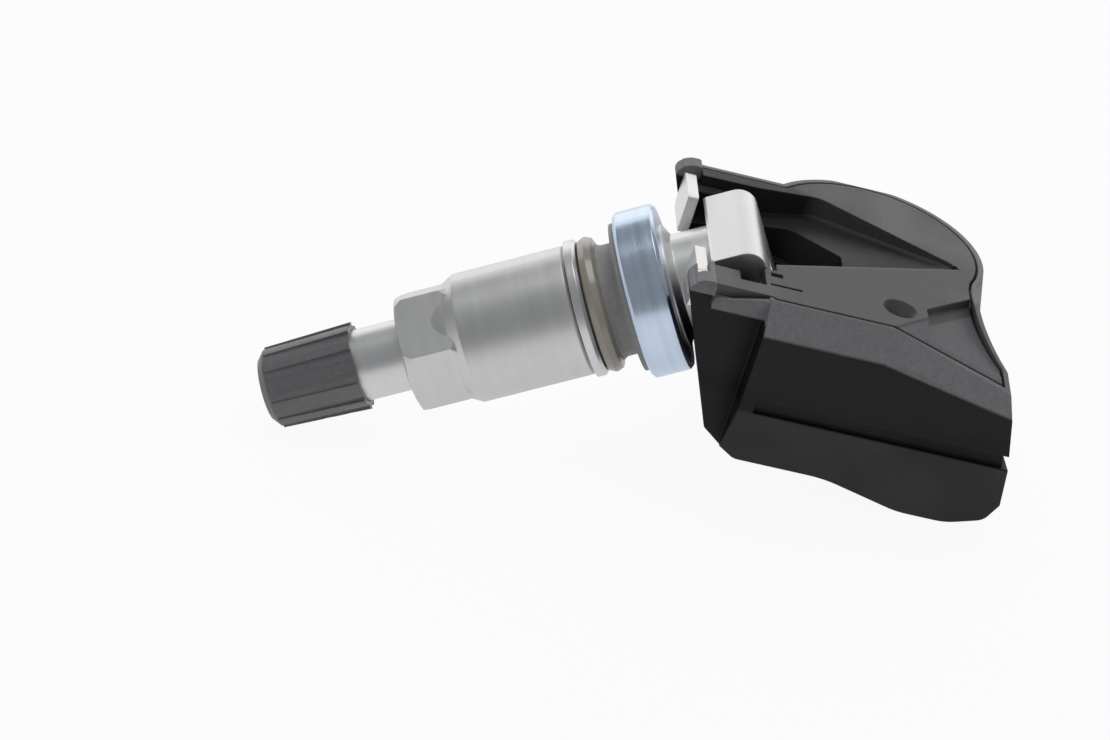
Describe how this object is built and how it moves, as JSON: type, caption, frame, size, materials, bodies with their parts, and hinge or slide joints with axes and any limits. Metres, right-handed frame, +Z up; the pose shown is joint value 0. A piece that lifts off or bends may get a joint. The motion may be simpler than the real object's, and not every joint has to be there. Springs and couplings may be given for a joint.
{
  "type": "tyre pressure sensor",
  "caption": "Tyre pressure sensor: moulded electronics housing with a swivelling aluminium clamp-in valve, rubber grommet, washers, collar nut and ribbed dust cap.",
  "frame": {"origin": "on the stem's axis at the middle of the grommet's neck, where the wheel rim sits", "axes": "+X runs level from the dust cap's end to the housing, +Y away from the camera across the housing, +Z up; the sensor lies on the cap's outer rim and the housing's rear sole"},
  "size_m": [0.0788, 0.0339, 0.0281],
  "materials": {
    "stem": "satin, fine turned lines",
    "ring": "zinc plated, turned",
    "grommet": "matt",
    "seal_washer": "satin, tan grey",
    "washer": "satin",
    "nut": "satin, fine turned lines",
    "cap": "moulded, fine grain",
    "cap_rubber": "matt",
    "core_brass": "turned",
    "core_rubber": "matt",
    "spring": "drawn wire",
    "housing": "moulded, fine grain",
    "cover": "moulded, fine grain",
    "board": "solder mask",
    "cell_can": "bright",
    "chip": "moulded",
    "port_rubber": "soft",
    "coil": "enamelled copper winding",
    "antenna": "stamped strip",
    "tab": "nickel strip",
    "keeper": "bright stamped plate"
  },
  "bodies": {
    "housing": {"housing_tub": "housing", "housing_cover": "cover", "keeper_plates": "keeper", "circuit_board": "board", "cell": "cell_can", "sensor_chip": "chip", "port_seal": "port_rubber", "wake_coil": "coil", "board_chips": "chip", "antenna_strip": "antenna", "cell_top_tab": "tab", "cell_bottom_tab": "tab"},
    "valve": {"valve_stem": "stem", "support_ring": "ring", "rubber_grommet": "grommet", "sealing_washer": "seal_washer", "core_body": "core_brass", "core_gasket": "core_rubber"},
    "thrust_washer": {"thrust_washer": "washer"},
    "collar_nut": {"collar_nut": "nut"},
    "cap_seal": {"cap_seal": "cap_rubber"},
    "valve_cap": {"valve_cap": "cap"},
    "core_pin": {"core_pin": "core_brass", "core_cup": "core_rubber", "core_spring": "spring"}
  },
  "joints": [
    {"name": "valve_swivel", "type": "hinge", "parent": "housing", "child": "valve", "pos_m": [0.01279, 0, 0.0049], "axis": [0, 1, 0], "range_deg": [0, 12]},
    {"name": "washer_slide", "type": "slide", "parent": "valve", "child": "thrust_washer", "axis": [-0.9338, 0, -0.3578], "range_m": [0, 0.00505]},
    {"name": "nut_turn", "type": "hinge", "parent": "thrust_washer", "child": "collar_nut", "pos_m": [-0.01522, 0, -0.00583], "axis": [-0.9338, 0, -0.3578], "range_deg": [0, 2290]},
    {"name": "seal_slide", "type": "slide", "parent": "valve", "child": "cap_seal", "axis": [-0.9338, 0, -0.3578], "range_m": [0, 0.0083]},
    {"name": "cap_turn", "type": "hinge", "parent": "cap_seal", "child": "valve_cap", "pos_m": [-0.0311, 0, -0.01191], "axis": [-0.9338, 0, -0.3578], "range_deg": [0, 3764]},
    {"name": "pin_press", "type": "slide", "parent": "valve", "child": "core_pin", "axis": [0.9338, 0, 0.3578], "range_m": [0, 0.0016], "stiffness_N_per_m": 600, "springref_m": -0.003}
  ],
  "couplings": [
    {"joint": "nut_turn", "follows": "washer_slide", "rad_per_m": 7913.3},
    {"joint": "cap_turn", "follows": "seal_slide", "rad_per_m": 7913.3}
  ]
}
